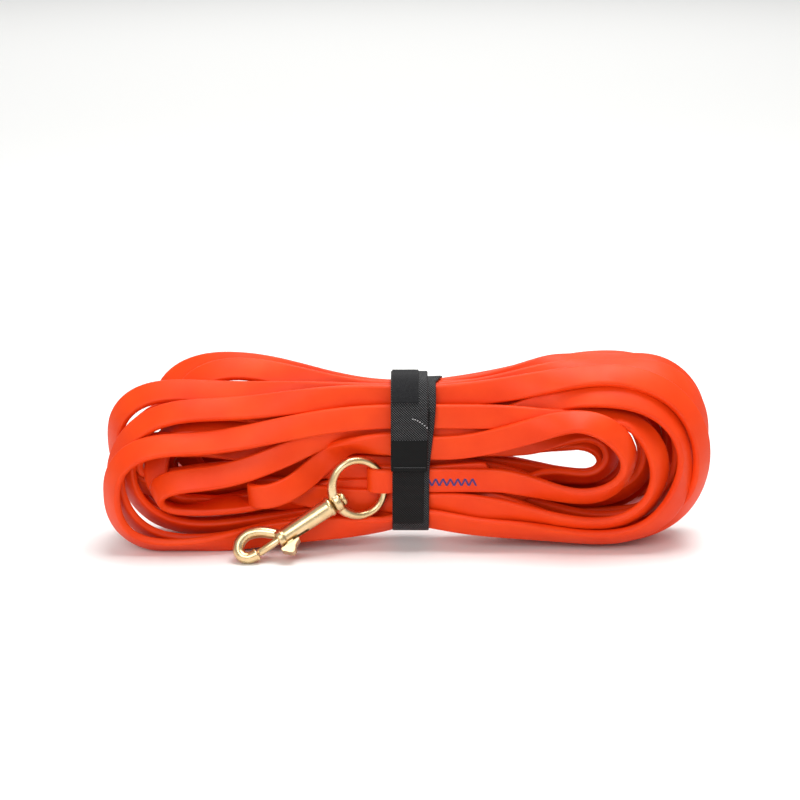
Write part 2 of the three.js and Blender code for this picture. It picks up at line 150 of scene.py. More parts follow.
# Right ends: how far each reaches, its depth, and the heights of its top and bottom.
RIGHT_ENDS = [(118, -20, 76, 31), (135, -17, 76, 14), (149, -14, 88, 7), (158, -8, 97, 5), (112, 2, 62, 38),
              (131, 0, 79, 24), (148, 0, 90, 12), (161, 1, 102, 3),
              (108, 8, 56, 34), (131, 8, 77, 21), (150, 9, 91, 10),
              (122, 15, 60, 27), (138, 15, 81, 17), (162, 15, 102, 3),
              (118, 22, 52, 28), (146, 22, 84, 14), (159, 22, 98, 4)]
# Left ends: how far each reaches, and its depth and height on the way in and on the way out.
LEFT_ENDS = [(88, (-20, 30), (-6, 31)), (160, (-20, 60), (-17, 4)), (136, (-22, 40), (-7, 24)),
             (157, (-12, 77), (-9, 3)), (148, (-5, 58), (-3, 40)), (138, (-4, 64), (-4, 22)),
             (152, (-3, 76), (-4, 10)), (160, (1, 84), (3, 30)), (134, (8, 60), (8, 24)),
             (155, (8, 74), (8, 8)), (128, (12, 94), (13, 34)), (130, (16, 56), (16, 22)),
             (154, (16, 72), (16, 6)), (134, (19, 97), (20, 38)), (124, (23, 50), (23, 28)),
             (150, (22, 74), (22, 5))]
TIE_SIDES = (16.0, -13.0)       # where the runs leave the tie, right and left
RIGHT_TILT = math.radians(38)   # how far the right ends' faces turn to the front
LEFT_TILT = math.radians(40)
FIRST_COLUMN = -11.8            # depth of the slots nearest the front
COLUMN_PITCH = 4.72
FIRST_ROW = 17.8                # height of the lowest slots
ROW_PITCH = 13.1
END_LENGTH = 1.05               # an end's bulge over half its height
RIGHT_BULGE = 46.0              # no right end bulges further than this, and no left end than the next
LEFT_BULGE = 44.0
LOOSE_END = (-84.0, 8.0, -14.0)     # from where the last run leaves the tie to the strap's end
FACE_ROUNDS = 6                 # smoothing of the way the strap's face turns
EDGE_SPAN = 8.7                 # between the outermost of four balls across the strap


def slot_point(x, slot):
    column, row, lift = slot
    return np.array([x, FIRST_COLUMN + COLUMN_PITCH * column, FIRST_ROW + ROW_PITCH * row + lift])


class Route:
    """Points of the strap's middle line, each with the direction its outer face looks."""

    def __init__(self):
        self.points = []
        self.faces = []

    def add(self, points, faces):
        self.points.extend(points)
        self.faces.extend(faces)

    def run(self, start, end, face_start, face_end, lead=0.1):
        """A run along the hank, level at both ends, its face turning on the way."""
        length = np.linalg.norm(end - start)
        slope = np.array([np.sign(end[0] - start[0]) * length, 0, 0])
        points = hermite(start, slope, end, slope, max(4, int(length / ROUTE_STEP)))
        turn = smooth((np.linspace(0, 1, len(points)) - lead) / (1 - lead))[:, None]
        self.add(points, (1 - turn) * face_start + turn * face_end)

    def bend(self, middle, reach, axis, half, outward):
        """Half an ellipse from middle - axis * half round to middle + axis * half."""
        count = max(8, int(math.pi * (half + abs(reach)) / 2 / ROUTE_STEP))
        for turn in np.linspace(-math.pi / 2, math.pi / 2, count, endpoint=False):
            point = middle + np.array([reach * math.cos(turn), 0, 0]) + half * math.sin(turn) * axis
            self.add([point], [outward(turn)])


def right_end(route, start, face, side, number):
    """From the foot of a right end to its top, the faces turned a little to the front."""
    reach, depth, top, bottom = RIGHT_ENDS[number]
    half = (top - bottom) / 2 - 2
    bulge = min(half * END_LENGTH, RIGHT_BULGE)
    middle = np.array([reach - bulge - 2, depth, (top + bottom) / 2])
    rise = np.array([0.0, 0, 1])

    def outward(turn):
        flat = np.array([math.cos(turn), 0, math.sin(turn)]) * math.cos(RIGHT_TILT)
        return side * (flat + FRONT * math.sin(RIGHT_TILT))

    route.run(start, middle - rise * half, face, outward(-math.pi / 2))
    route.bend(middle, bulge, rise, half, outward)
    return middle + rise * half, outward(math.pi / 2)


def left_end(route, start, face, side, number):
    """An end that lies flat, front to back, brings the strap's other face to the front."""
    reach, way_in, way_out = LEFT_ENDS[number]
    first, last = np.array([0.0, *way_in]), np.array([0.0, *way_out])
    gap = np.linalg.norm(last - first)
    bulge = min(gap / 2 * END_LENGTH, LEFT_BULGE)
    axis = unit(last - first)
    middle = (first + last) / 2 - np.array([reach - bulge - 2, 0, 0])
    upright = abs(axis[2])
    tilt = LEFT_TILT * upright

    def outward(turn):
        flat = np.array([-math.cos(turn), 0, 0]) + math.sin(turn) * axis
        return side * unit(flat * math.cos(tilt) + FRONT * math.sin(tilt))

    route.run(start, middle - axis * gap / 2, face, outward(-math.pi / 2))
    route.bend(middle, -bulge, axis, gap / 2, outward)
    return middle + axis * gap / 2, outward(math.pi / 2), -side if upright < 0.7 else side


def hank_route():
    """The standing part leaves the sewn end and goes round and round the hank."""
    route = Route()
    start = np.array([SEWN_RIGHT, STANDING_DEPTH, SEWN_HEIGHT])
    face = FRONT
    side = 1.0
    for number, upper in enumerate(UPPER_SLOTS):
        point, face = right_end(route, start, face, side, number)
        over_right, over_left = slot_point(TIE_SIDES[0], upper), slot_point(TIE_SIDES[1], upper)
        route.run(point, over_right, face, side * FRONT, lead=0.0)
        route.run(over_right, over_left, side * FRONT, side * FRONT)
        if number == len(LEFT_ENDS):
            break
        point, face, side = left_end(route, over_left, side * FRONT, side, number)
        lower = LOWER_SLOTS[number]
        under_left, under_right = slot_point(TIE_SIDES[1], lower), slot_point(TIE_SIDES[0], lower)
        route.run(point, under_left, face, side * FRONT, lead=0.0)
        route.run(under_left, under_right, side * FRONT, side * FRONT)
        start, face = under_right, side * FRONT
    route.run(over_left, over_left + LOOSE_END, side * FRONT, side * FRONT)
    return np.array(route.points), np.array(route.faces)


def resampled(points, faces, step):
    """The same route at even spacing."""
    length = np.concatenate([[0], np.cumsum(np.linalg.norm(np.diff(points, axis=0), axis=1))])
    marks = np.linspace(0, length[-1], int(length[-1] / step) + 1)
    even = [np.stack([np.interp(marks, length, values[:, k]) for k in range(3)], axis=1)
            for values in (points, faces)]
    return even[0], even[1]


def edges_of(points, faces):
    """Two lines EDGE_SPAN apart, one along each side of the strap."""
    for _ in range(FACE_ROUNDS):
        faces[1:-1] = 0.25 * faces[:-2] + 0.5 * faces[1:-1] + 0.25 * faces[2:]
    along = unit(np.gradient(points, axis=0))
    faces = unit(faces - (faces * along).sum(1, keepdims=True) * along)
    across = np.cross(faces, along)
    return points - across * EDGE_SPAN / 2, points + across * EDGE_SPAN / 2


# ------------------------------------------------------------------ laying the strap
CONTACT = 2.3                   # radius of the balls that stand for the strap when it touches
BALLS = np.linspace(0, 1, 4)
LAY_ROUNDS = 1100
PAIR_ROUNDS = 8                 # how often the pairs that may touch are looked for again
LENGTH_PASSES = 2               # how often each round evens out the strap's lengths
FIXED_POINTS = 3                # the first points stay where they meet the sewn end
STIFFNESS = 0.05
AIM_PULL, AIM_REST = 0.03, 0.002    # pull towards the drawn route: the first part fades away
# How much of each fault a round puts right.
LENGTH_FIX, WIDTH_FIX, SKEW_FIX = 0.4, 0.5, 0.3
FLOOR_FIX, WALL_FIX, SNAP_FIX = 0.9, 0.5, 0.7
TOUCH_POWER = 0.6               # a ball's push is divided by its number of touches to this power
BALL_SHARE = 0.62               # how closely the two edges follow the balls' moves
# Where the balls may go: lowest, highest, how far from the middle in depth and along the hank.
LOWEST, HIGHEST, DEEPEST, FURTHEST = 2.5, 98.6, 26.0, 158.6
TIE_REACH = 13.0                # the tie squeezes the hank this far to each side of its middle
# Room round the snap: from and to along it, and the radius kept free.
SNAP_ROOM = ((52.0, 76.5, 15.8), (28.0, 52.0, 11.0), (14.0, 28.0, 6.2))
# Room for the eye and for the sewn end: left, right, back, bottom and top.
EYE_BOX = (-44.0, -9.5, -8.0, 19.5, 53.0)
SEWN_BOX = (-23.5, 43.0, -4.9, 32.6, 46.2)

SNAP_START = np.array(JOINTS["snap_swivel"]["pos_m"]) / MM - (0, ORIGIN_Y, 0)
SNAP_ALONG = unit(np.array(JOINTS["snap_swivel"]["axis"]))


def balls_of(left, right):
    """The middles of four balls across the strap at every place along it."""
    return left[:, None, :] * (1 - BALLS)[None, :, None] + right[:, None, :] * BALLS[None, :, None]


def near_pairs(left, right, near=6, margin=1.6):
    """Pairs of balls that may touch, leaving out those within a few points along the strap."""
    middle = ((left + right) / 2).astype(np.float32)
    apart = ((middle[:, None, :] - middle[None, :, :]) ** 2).sum(2)
    reach = (EDGE_SPAN + 2 * CONTACT + margin) ** 2
    i, j = np.nonzero(np.triu(apart < reach, near))
    balls = balls_of(left, right)
    across = len(BALLS)
    first, second = [], []
    for a in range(across):
        for b in range(across):
            close = np.linalg.norm(balls[i, a] - balls[j, b], axis=1) < 2 * CONTACT + margin
            first.append(i[close] * across + a)
            second.append(j[close] * across + b)
    return np.concatenate(first), np.concatenate(second)


def tie_push(balls, half=15.5, low=10.6, high=90.4, corner=11.5):
    """Back inside the tie's rounded oblong."""
    middle = (high + low) / 2
    y, z = balls[..., 1], balls[..., 2] - middle
    flat_y, flat_z = half - corner, (high - low) / 2 - corner
    over_y, over_z = np.maximum(abs(y) - flat_y, 0), np.maximum(abs(z) - flat_z, 0)
    out = np.sqrt(over_y**2 + over_z**2)
    limit = corner - CONTACT
    keep = np.where(out > limit, limit / np.maximum(out, 1e-6), 1.0)
    push = np.zeros_like(balls)
    push[..., 1] = -np.sign(y) * over_y * (1 - keep)
    push[..., 2] = -np.sign(z) * over_z * (1 - keep)
    return push * (abs(balls[..., 0] - TIE_MIDDLE) < TIE_REACH)[..., None]


def snap_push(balls):
    """Away from the snap's axis, far enough for the snap to turn."""
    offset = balls - SNAP_START
    along = offset @ SNAP_ALONG
    radial = offset - along[..., None] * SNAP_ALONG
    out = np.linalg.norm(radial, axis=-1)
    room = np.select([(along > start) & (along <= end) for start, end, _ in SNAP_ROOM],
                     [radius for _, _, radius in SNAP_ROOM], 0.0)
    room = room + (room > 0) * (CONTACT + 0.3)
    return radial * np.where(out < room, (room - out) / np.maximum(out, 1e-3), 0.0)[..., None]


def box_push(balls, x_low, x_high, back, low, high):
    """Out of a box at the hank's front, by its back, top or bottom, whichever is nearest."""
    x, y, z = balls[..., 0], balls[..., 1], balls[..., 2]
    inside = (x > x_low - CONTACT) & (x < x_high + CONTACT) & (y < back + CONTACT)
    inside &= (z > low - CONTACT) & (z < high + CONTACT)
    behind, above, below = back + CONTACT - y, high + CONTACT - z, z - low + CONTACT
    least = np.minimum(np.minimum(behind, above), below)
    push = np.zeros_like(balls)
    push[..., 1] = np.where(inside & (behind <= least), behind, 0)
    push[..., 2] = np.where(inside & (behind > least), np.where(above <= below, above, -below), 0)
    return push


def lay_strap(left, right):
    """Relax the route: the strap keeps its length and width and finds room beside itself."""
    left_aim, right_aim = left.copy(), right.copy()
    whole = np.linalg.norm(np.diff((left + right) / 2, axis=0), axis=1).mean()
    rests = [whole * np.clip(np.linalg.norm(np.diff(line, axis=0), axis=1) / whole, 0.8, 1.2)[:, None]
             for line in (left, right)]
    for turn in range(LAY_ROUNDS):
        if turn % PAIR_ROUNDS == 0:
            first, second = near_pairs(left, right)
        pull = AIM_PULL * (1 - turn / LAY_ROUNDS) + AIM_REST
        for line, aim in ((left, left_aim), (right, right_aim)):
            stiff = line[:-4] - 4 * line[1:-3] + 6 * line[2:-2] - 4 * line[3:-1] + line[4:]
            line[2:-2] -= STIFFNESS * stiff
            line += pull * (aim - line)
        for _ in range(LENGTH_PASSES):
            for line, rest in zip((left, right), rests):
                for odd in (0, 1):
                    count = (len(line) - odd) // 2
                    near = line[odd::2][:count]
                    far = line[odd + 1::2][:count]
                    gap = far - near
                    long = np.linalg.norm(gap, axis=1, keepdims=True)
                    fix = LENGTH_FIX * gap * (1 - rest[odd::2][:count] / long)
                    near += fix
                    far -= fix
            gap = right - left
            fix = WIDTH_FIX * gap * (1 - EDGE_SPAN / np.linalg.norm(gap, axis=1, keepdims=True))
            left += fix
            right -= fix
        along = unit(np.gradient((left + right) / 2, axis=0))
        skew = ((right - left) * along).sum(1, keepdims=True) * along * SKEW_FIX
        left += skew
        right -= skew
        balls = balls_of(left, right)
        flat = balls.reshape(-1, 3)
        gap = flat[first] - flat[second]
        apart = np.linalg.norm(gap, axis=1)
        touch = apart < 2 * CONTACT
        one, two, apart = first[touch], second[touch], np.maximum(apart[touch], 1e-3)
        push = gap[touch] * ((CONTACT - apart / 2) / apart)[:, None]
        moved = np.stack([np.bincount(one, push[:, k], len(flat)) - np.bincount(two, push[:, k], len(flat))
                          for k in range(3)], axis=1)
        touches = np.bincount(one, minlength=len(flat)) + np.bincount(two, minlength=len(flat))
        moved /= np.maximum(touches, 1)[:, None] ** TOUCH_POWER
        moved = moved.reshape(balls.shape)
        x, y, z = balls[..., 0], balls[..., 1], balls[..., 2]
        moved[..., 2] += FLOOR_FIX * np.maximum(LOWEST - z, 0)
        moved[..., 2] -= WALL_FIX * np.maximum(z - HIGHEST, 0)
        moved[..., 1] -= WALL_FIX * np.sign(y) * np.maximum(abs(y) - DEEPEST, 0)
        moved[..., 0] -= WALL_FIX * np.sign(x) * np.maximum(abs(x) - FURTHEST, 0)
        moved += tie_push(balls)
        moved += SNAP_FIX * snap_push(balls)
        moved += SNAP_FIX * box_push(balls, *EYE_BOX)
        moved += SNAP_FIX * box_push(balls, *SEWN_BOX)
        moved[:FIXED_POINTS] = 0
        shift = BALL_SHARE / (BALLS**2).sum()
        left += shift * (moved * (1 - BALLS)[None, :, None]).sum(1)
        right += shift * (moved * BALLS[None, :, None]).sum(1)
        left[:FIXED_POINTS], right[:FIXED_POINTS] = left_aim[:FIXED_POINTS], right_aim[:FIXED_POINTS]
    return left, right


def sewn_route():
    """From the tail's end to the left, bowed round the eye's wire, and back along the front."""
    route = Route()
    bow = (STANDING_DEPTH + TAIL_DEPTH) / 2
    tail = np.array([SEWN_RIGHT, TAIL_DEPTH, SEWN_HEIGHT + TAIL_LIFT])
    neck = np.array([NECK_RIGHT, TAIL_DEPTH, SEWN_HEIGHT])
    middle = np.array([SEWN_LEFT + STRAP_THICK / 2 + FOLD_REACH, bow, SEWN_HEIGHT])
    round_eye = np.array([0.0, -1, 0])
    route.run(tail, neck, -FRONT, -FRONT)
    route.run(neck, middle - round_eye * FOLD_HALF, -FRONT, -FRONT)
    route.bend(middle, -FOLD_REACH, round_eye, FOLD_HALF,
               lambda turn: np.array([-math.cos(turn), -math.sin(turn), 0]))
    neck_front = np.array([NECK_RIGHT, STANDING_DEPTH, SEWN_HEIGHT])
    route.run(middle + round_eye * FOLD_HALF, neck_front, FRONT, FRONT)
    route.run(neck_front, np.array([SEWN_RIGHT, STANDING_DEPTH, SEWN_HEIGHT]), FRONT, FRONT)
    return np.array(route.points), np.array(route.faces)


def spline(values, marks):
    """Catmull-Rom through values at whole numbers, read at marks."""
    padded = np.concatenate([2 * values[:1] - values[1:2], values, 2 * values[-1:] - values[-2:-1]])
    base = np.minimum(marks.astype(int), len(values) - 2)
    u = (marks - base)[:, None]
    a, b, c, d = (padded[base + k] for k in range(4))
    return 0.5 * (2 * b + (c - a) * u + (2 * a - 5 * b + 4 * c - d) * u**2 + (3 * b - a - 3 * c + d) * u**3)


def strap_section():
    """The strap's outline across its width (first) and its thickness (second)."""
    points = []
    for corner in range(4):
        for step in (0.0, 0.33, 0.67, 1.0):
            turn = (corner + step) * math.pi / 2
            across = (STRAP_WIDTH / 2 - STRAP_EDGE) * (1, -1, -1, 1)[corner]
            through = (STRAP_THICK / 2 - STRAP_EDGE) * (1, 1, -1, -1)[corner]
            points.append((across + STRAP_EDGE * math.cos(turn), through + STRAP_EDGE * math.sin(turn)))
        if corner % 2 == 0:
            points.append((0.0, STRAP_THICK / 2 * (1, 1, -1, -1)[corner]))
    return np.array(points)


def strap_mesh(left, right):
    """The strap, with the middle line of its sections and the distance along it."""
    marks = np.arange(0, len(left) - 1, MESH_STEP / ROUTE_STEP)
    left, right = spline(left, marks), spline(right, marks)
    middle = (left + right) / 2
    across = unit(right - left)
    along = unit(np.gradient(middle, axis=0))
    outer = unit(np.cross(along, across))
    across = np.cross(outer, along)
    section = strap_section()
    run = np.concatenate([[0], np.cumsum(np.linalg.norm(np.diff(middle, axis=0), axis=1))])
    end = np.minimum(run, run[-1] - run)
    trim = STRAP_CORNER - np.sqrt(np.maximum(STRAP_CORNER**2 - np.maximum(STRAP_CORNER - end, 0) ** 2, 0))
    width = 1 - trim / (STRAP_WIDTH / 2)
    rings = (middle[:, None, :] + across[:, None, :] * (section[None, :, :1] * width[:, None, None])
             + outer[:, None, :] * section[None, :, 1:])
    count, sides = len(middle), len(section)
    strap = new_object("strap", place(rings.reshape(-1, 3)), ring_faces(count, sides), "leash")
    fit_uv(strap, np.repeat(run, sides), np.tile(section[:, 0], count))
    return strap, middle, run


def add_strap():
    points, faces = resampled(*hank_route(), ROUTE_STEP)
    left, right = lay_strap(*edges_of(points, faces))
    sewn_left, sewn_right = edges_of(*resampled(*sewn_route(), ROUTE_STEP))
    left = np.concatenate([sewn_left[:-1], left])
    right = np.concatenate([sewn_right[:-1], right])
    strap, middle, run = strap_mesh(left, right)
    finish_with(strap, STRAP)
    path = [tuple(point) for point in place(middle[::3])]
    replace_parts(strap, "strap_hank", "strap_sewn_end")
    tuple(path[0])


# ------------------------------------------------------------------ materials
class Shading:
    """A Principled material with a few short ways to add nodes to it."""

    def __init__(self, name, roughness, metallic=0.0, specular=0.5):
        self.material = bpy.data.materials.new(name)
        self.material.use_nodes = True
        self.nodes = self.material.node_tree.nodes
        self.links = self.material.node_tree.links
        self.shader = self.nodes["Principled BSDF"]
        self.shader.inputs["Roughness"].default_value = roughness
        self.shader.inputs["Metallic"].default_value = metallic
        self.shader.inputs["Specular IOR Level"].default_value = specular
        self.object_space = self.add("ShaderNodeTexCoord").outputs["Object"]
        self.uv = self.add("ShaderNodeTexCoord").outputs["UV"]

    def add(self, kind, **inputs):
        node = self.nodes.new(kind)
        for name, value in inputs.items():
            node.inputs[name.replace("_", " ")].default_value = value
        return node

    def noise(self, scale, detail=3.0, space=None):
        node = self.add("ShaderNodeTexNoise", Scale=scale, Detail=detail)
        self.links.new(space or self.object_space, node.inputs["Vector"])
        return node.outputs["Fac"]

    def ramp(self, factor, *stops):
        """Colour stops as (position, (red, green, blue))."""
        node = self.nodes.new("ShaderNodeValToRGB")
        for number, (position, colour) in enumerate(stops):
            if number > 1:
                node.color_ramp.elements.new(position)
            node.color_ramp.elements[number].position = position
            node.color_ramp.elements[number].color = (*colour, 1)
        self.links.new(factor, node.inputs["Fac"])
        return node.outputs["Color"]

    def span(self, factor, low, high):
        node = self.nodes.new("ShaderNodeMapRange")
        node.inputs["To Min"].default_value = low
        node.inputs["To Max"].default_value = high
        self.links.new(factor, node.inputs["Value"])
        return node.outputs["Result"]

    def maths(self, operation, first, second):
        node = self.nodes.new("ShaderNodeMath")
        node.operation = operation
        for socket, value in zip(node.inputs, (first, second)):
            if isinstance(value, float):
                socket.default_value = value
            else:
                self.links.new(value, socket)
        return node.outputs["Value"]

    def bump(self, height, depth, strength=1.0, under=None):
        """Bump of a depth in metres, on top of another bump when one is given."""
        node = self.add("ShaderNodeBump", Strength=strength, Distance=depth)
        self.links.new(height, node.inputs["Height"])
        if under:
            self.links.new(under, node.inputs["Normal"])
        return node.outputs["Normal"]

    def wire(self, colour=None, roughness=None, normal=None):
        for name, output in (("Base Color", colour), ("Roughness", roughness), ("Normal", normal)):
            if output:
                self.links.new(output, self.shader.inputs[name])
        return self.material


def strap_finish():
    """Satin coated webbing: fine pebble, a faint ghost of the core's weave, rubbed patches."""
    look = Shading("strap_orange", 0.4, specular=0.2)
    look.shader.inputs["Coat Weight"].default_value = 0.04
    look.shader.inputs["Coat Roughness"].default_value = 0.3
    cloud = look.noise(38.0, 4.0)
    colour = look.ramp(cloud, (0.3, (0.76, 0.040, 0.0018)), (0.52, (0.81, 0.050, 0.0026)),
                       (0.75, (0.86, 0.063, 0.0044)))
    rub = look.span(look.noise(160.0, 5.0), 0.36, 0.56)
    weave = look.nodes.new("ShaderNodeTexWave")
    weave.inputs["Scale"].default_value = 0.62
    weave.inputs["Distortion"].default_value = 0.6
    look.links.new(look.uv, weave.inputs["Vector"])
    ribs = look.bump(weave.outputs["Fac"], 0.00003, 0.6)
    pebble = look.bump(look.noise(2400.0, 2.0), 0.00006, 0.7, under=ribs)
    return look.wire(colour, rub, look.bump(cloud, 0.0006, 0.35, under=pebble))


def webbing_finish(name, dark, light, depth, roughness):
    """Black nylon webbing in a fine twill, with a painted highlight on each raised thread."""
    look = Shading(name, roughness, specular=0.18)
    twill = look.nodes.new("ShaderNodeTexWave")
    twill.bands_direction = "DIAGONAL"
    twill.inputs["Scale"].default_value = 0.46
    twill.inputs["Distortion"].default_value = 0.5
    twill.inputs["Detail"].default_value = 1.0
    look.links.new(look.uv, twill.inputs["Vector"])
    picks = look.nodes.new("ShaderNodeTexWave")
    picks.bands_direction = "X"
    picks.inputs["Scale"].default_value = 0.5
    look.links.new(look.uv, picks.inputs["Vector"])
    floats = look.maths("MULTIPLY", twill.outputs["Fac"], picks.outputs["Fac"])
    # Painted highlight: the peaks of the raised floats are coloured light, as a glint would light them.
    colour = look.ramp(floats, (0.2, dark), (0.45, dark), (0.9, light))
    rough = look.span(floats, min(roughness + 0.2, 1.0), roughness - 0.12)
    grain = look.bump(look.noise(1500.0, 3.0), 0.00008, 0.5)
    return look.wire(colour, rough, look.bump(floats, depth, 1.0, under=grain))


def fuzz_finish():
    """The soft loop side of the tie: short grey-black pile."""
    look = Shading("tie_pile", 0.95, specular=0.12)
    look.shader.inputs["Sheen Weight"].default_value = 0.06
    look.shader.inputs["Sheen Roughness"].default_value = 0.6
    pile = look.noise(2600.0, 4.0)
    colour = look.ramp(pile, (0.3, (0.004, 0.004, 0.0045)), (0.7, (0.026, 0.026, 0.028)))
    return look.wire(colour, None, look.bump(pile, 0.0003, 0.9))


def thread_finish(name, dark, light):
    look = Shading(name, 0.55)
    look.shader.inputs["Sheen Weight"].default_value = 0.2
    twist = look.noise(3000.0, 1.0)
    return look.wire(look.ramp(twist, (0.35, dark), (0.65, light)), None, look.bump(twist, 0.0001, 0.7))


def brass_finish():
    """Satin die-cast brass: soft grain, a little dulling where hands don't rub."""
    look = Shading("satin_brass", 0.3, 1.0)
    tone = look.noise(130.0, 4.0)
    colour = look.ramp(tone, (0.3, (0.66, 0.475, 0.235)), (0.55, (0.76, 0.575, 0.32)),
                       (0.8, (0.84, 0.67, 0.42)))
    rough = look.span(look.noise(300.0, 4.0), 0.22, 0.36)
    grain = look.bump(look.noise(1800.0, 2.0), 0.00003, 0.6)
    return look.wire(colour, rough, look.bump(look.noise(260.0, 2.0), 0.00012, 0.35, under=grain))


def steel_finish():
    look = Shading("spring_steel", 0.32, 1.0)
    tone = look.noise(900.0, 3.0)
    colour = look.ramp(tone, (0.3, (0.42, 0.42, 0.43)), (0.7, (0.56, 0.56, 0.57)))
    return look.wire(colour, look.span(tone, 0.25, 0.4), look.bump(tone, 0.00002, 0.5))


STRAP = strap_finish()
# The tie's webbings: name, dark colour, painted highlight colour on the raised threads, how deep the twill
# is in metres, roughness.
WEBBING = webbing_finish("tie_webbing", (0.0012, 0.0012, 0.0013), (0.24, 0.24, 0.25), 0.00028, 0.36)
TAPE = webbing_finish("tie_tape", (0.002, 0.002, 0.002), (0.006, 0.006, 0.0065), 0.00006, 0.5)
PATCH = webbing_finish("tie_patch", (0.006, 0.0055, 0.0055), (0.05, 0.048, 0.048), 0.00018, 0.7)
PILE = fuzz_finish()
PURPLE = thread_finish("seam_thread", (0.022, 0.010, 0.085), (0.085, 0.035, 0.24))
BLACK_THREAD = thread_finish("tie_thread", (0.01, 0.01, 0.011), (0.05, 0.05, 0.052))
LIGHT_THREAD = thread_finish("tie_light_thread", (0.45, 0.45, 0.46), (0.8, 0.8, 0.8))
BRASS = brass_finish()
STEEL = steel_finish()


def finish_with(piece, finish):
    piece.data.materials.clear()
    piece.data.materials.append(finish)
    return piece


# ------------------------------------------------------------------ ribbons and threads
def ribbon(name, middles, outers, across, width, thick, finish):
    """A flat band of the tie: rings of a thin rounded section, with a UV map in millimetres."""
    edge = thick / 2
    section = []
    for end, first in ((1, -math.pi / 2), (-1, math.pi / 2)):
        for turn in np.linspace(first, first + math.pi, 5):
            section.append((end * (0.5 * width - edge) + edge * math.cos(turn), edge * math.sin(turn)))
        for part in (0.5, 0.0, -0.5):
            section.append((end * part * width * 0.7, end * edge))
    section = np.array(section)
    rings = (middles[:, None, :] + across[:, None, :] * section[None, :, :1]
             + outers[:, None, :] * section[None, :, 1:])
    count, sides = len(middles), len(section)
    verts = place(rings.reshape(-1, 3))
    piece = new_object(name, verts, ring_faces(count, sides), "leash")
    run = np.concatenate([[0], np.cumsum(np.linalg.norm(np.diff(middles, axis=0), axis=1))])
    fit_uv(piece, np.repeat(run, sides), np.tile(section[:, 0], count))
    return finish_with(piece, finish)


def fit_uv(piece, along, across):
    layer = piece.data.uv_layers.new(name="UVMap")
    corners = np.empty(len(piece.data.loops), dtype=np.int32)
    piece.data.loops.foreach_get("vertex_index", corners)
    flat = np.stack([along[corners], across[corners]], axis=1)
    layer.data.foreach_set("uv", flat.ravel().astype(np.float32))


def tube(points, radius, sides=8):
    """Vertices and faces of a round thread through points, closed at both ends."""
    points = np.asarray(points, dtype=float)
    along = unit(np.gradient(points, axis=0))
    guide = np.array([0.0, 1.0, 0.0]) if abs(along[0][1]) < 0.9 else np.array([1.0, 0, 0])
    first = unit(np.cross(along, guide))
    second = np.cross(along, first)
    turns = np.linspace(0, 2 * math.pi, sides, endpoint=False)
    rings = points[:, None, :] + radius * (first[:, None, :] * np.cos(turns)[None, :, None]
                                           + second[:, None, :] * np.sin(turns)[None, :, None])
    return rings.reshape(-1, 3), ring_faces(len(points), sides, flip=True)


def threads(name, routes, radius, finish):
    """Several short lengths of thread as one piece."""
    verts, faces = [], []
    for route in routes:
        more, rings = tube(route, radius)
        faces += [tuple(corner + len(verts) for corner in face) for face in rings]
        verts.extend(more)
    return finish_with(new_object(name, place(verts), faces, "leash"), finish)


# ------------------------------------------------------------------ the sewn end's zigzag seam
ZIGZAG_PITCH = 3.9
ZIGZAG_HEIGHT = 4.0
ZIGZAG_ENDS = (1.0, 37.5)
ZIGZAG_DROP = 0.6               # the seam's middle lies this far under the strap's
THREAD_RADIUS = 0.25
THREAD_GAP = 0.28               # from a leg's middle to each of its two threads
THREAD_RISE = 0.34              # how high a stitch arches from its needle holes
THREAD_SUNK = 0.22              # how deep its ends lie


def zigzag(depth, way_out):
    """Two threads side by side on each leg, dipping into a needle hole at every turn."""
    routes = []
    legs = int(2 * (ZIGZAG_ENDS[1] - ZIGZAG_ENDS[0]) / ZIGZAG_PITCH)
    for leg in range(legs):
        x_from = ZIGZAG_ENDS[0] + leg * ZIGZAG_PITCH / 2
        side = 1 if leg % 2 else -1
        for offset in (-THREAD_GAP, THREAD_GAP):
            u = np.linspace(0, 1, 9)
            x = x_from + u * ZIGZAG_PITCH / 2 + offset
            z = SEWN_HEIGHT - ZIGZAG_DROP + side * ZIGZAG_HEIGHT * (0.5 - u)
            arch = THREAD_RISE * np.sqrt(np.maximum(1 - (2 * u - 1) ** 4, 0))
            y = depth + way_out * (arch - THREAD_SUNK)
            routes.append(np.stack([x, y, z], axis=1))
    return routes


def add_seam_threads():
    front = STANDING_DEPTH - STRAP_THICK / 2
    back = TAIL_DEPTH + STRAP_THICK / 2
    for side, routes in (("front", zigzag(front, -1)), ("back", zigzag(back, 1))):
        piece = threads(f"seam_{side}", routes, THREAD_RADIUS, PURPLE)
        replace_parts(piece, f"seam_thread_{side}")


# ------------------------------------------------------------------ the tie
TIE_WIDTH = 19.5
TIE_THICK = 1.3
TIE_INSIDE = 15.7               # inner face of the first wrap, front and back
TIE_LOW, TIE_HIGH = 10.5, 90.5
TIE_CORNER = 12.0
LAYER_STEP = 2.8                # from one wrap to the next over it
WRAP_START = -10.0
TAIL_LENGTH = 54.0              # the second wrap's reach down the front
CLIMB_START = 38.0              # the climb onto the first wrap starts this far before it
CLIMB_LENGTH = 20.0
BAND_LEAN = 3.4                 # how far right of the second wrap the first one starts
BAND_FLARE = 5.0                # and its end besides
BAND_LEFT = 0.8                 # how far left the second wrap ends
PATCH_SUNK = 0.1                # patches are set this deep into the band
STITCH_RISE = 0.16
FLAT_Y = TIE_INSIDE - TIE_CORNER
FLAT_Z = (TIE_HIGH - TIE_LOW) / 2 - TIE_CORNER
LOOP_LENGTH = 4 * FLAT_Y + 4 * FLAT_Z + 2 * math.pi * TIE_CORNER


